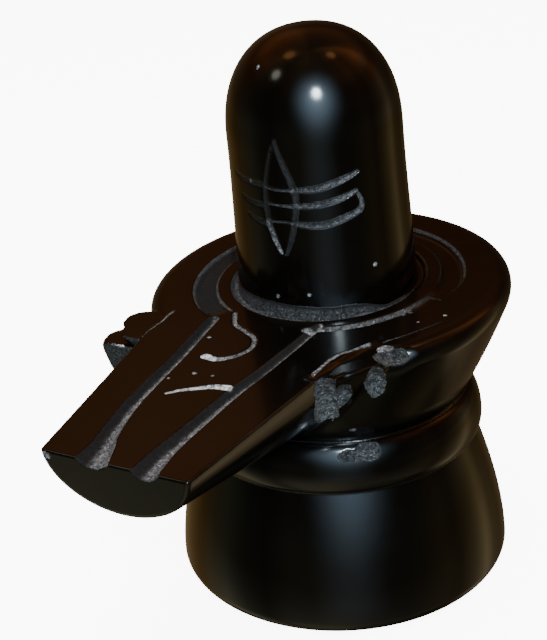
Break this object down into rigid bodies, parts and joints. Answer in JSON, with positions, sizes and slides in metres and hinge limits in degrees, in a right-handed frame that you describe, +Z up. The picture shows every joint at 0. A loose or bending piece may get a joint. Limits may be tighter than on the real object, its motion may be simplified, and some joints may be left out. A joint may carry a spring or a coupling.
{
  "type": "shiva lingam",
  "caption": "Small black stone lingam: a domed shaft with an eye and stripes stands in a round bowl with a grooved spout, on a waisted pedestal.",
  "frame": {"origin": "centre of the pedestal's underside, on the pedestal's turned axis", "axes": "+Z up the linga, -Y out along the spout, +X to the right of someone who faces the spout's mouth"},
  "size_m": [0.0804, 0.1205, 0.125],
  "materials": {
    "black_stone": "polished"
  },
  "bodies": {
    "root": {"shiva_lingam": "black_stone"}
  },
  "joints": []
}
